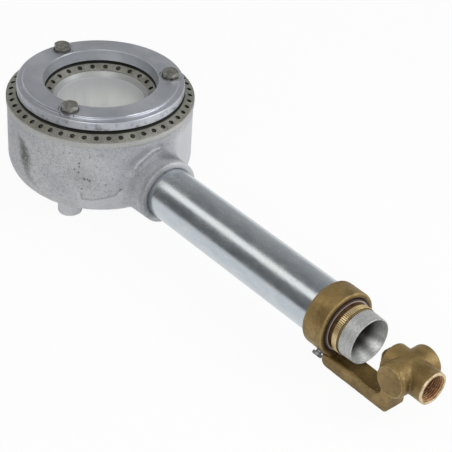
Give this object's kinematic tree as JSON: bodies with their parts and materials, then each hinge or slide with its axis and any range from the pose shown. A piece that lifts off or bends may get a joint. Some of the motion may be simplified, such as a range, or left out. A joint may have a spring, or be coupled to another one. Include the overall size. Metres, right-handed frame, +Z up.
{
  "type": "ring gas burner",
  "caption": "Ring gas burner for a catering range, with port ring, clamped cover, mixing tube, air bell and brass injector bracket.",
  "frame": {"origin": "on the burner's axis, in the plane of the foot lugs' lower faces", "axes": "+Z up along the burner's axis, +X along the mixing tube towards the gas inlet"},
  "size_m": [0.3624, 0.121, 0.0782],
  "materials": {
    "cast_aluminium": "sand cast, bead blasted, with a machined rim",
    "port_ring_metal": "dull grey ring, turned and drilled",
    "turned_aluminium": "lathe turned, satin",
    "bolt_steel": "dull passivated steel",
    "washer_steel": "dull spring steel",
    "zinc_steel": "bright zinc-plated tube",
    "cast_brass": "sand cast brass, dull, machined at the bores",
    "turned_brass": "turned brass, reeded",
    "bell_aluminium": "fine turned, polished mouth",
    "screw_steel": "grey zinc-plated screw",
    "spring_wire": "drawn steel wire",
    "copper": "annealed copper"
  },
  "bodies": {
    "burner": {"burner_body": "cast_aluminium", "port_ring": "port_ring_metal", "cover_ring": "turned_aluminium", "cover_bolt_1": "bolt_steel", "spring_washer_1": "washer_steel", "cover_bolt_2": "bolt_steel", "spring_washer_2": "washer_steel", "cover_bolt_3": "bolt_steel", "spring_washer_3": "washer_steel", "mixing_tube": "zinc_steel", "tube_bush": "turned_brass", "guide_pin": "spring_wire", "retaining_wire": "spring_wire"},
    "adjusting_ring": {"adjusting_ring": "turned_brass"},
    "air_bell": {"air_bell": "bell_aluminium"},
    "bracket": {"injector_bracket": "cast_brass", "injector": "turned_brass", "injector_seal": "copper"},
    "set_screw": {"set_screw": "screw_steel"}
  },
  "joints": [
    {"name": "adjusting_ring_turn", "type": "hinge", "parent": "burner", "child": "adjusting_ring", "pos_m": [0.24, 0, 0.0263], "axis": [1, 0, 0], "range_deg": [-720, 240]},
    {"name": "air_bell_slide", "type": "slide", "parent": "burner", "child": "air_bell", "axis": [1, 0, 0], "range_m": [-0.001, 0.003]},
    {"name": "bracket_slide", "type": "slide", "parent": "burner", "child": "bracket", "axis": [1, 0, 0], "range_m": [-0.003, 0.006]},
    {"name": "set_screw_travel", "type": "slide", "parent": "bracket", "child": "set_screw", "axis": [0, -0.7431, -0.6691], "range_m": [0, 0.0015]}
  ],
  "couplings": [
    {"joint": "adjusting_ring_turn", "follows": "air_bell_slide", "rad_per_m": -4188.8}
  ]
}
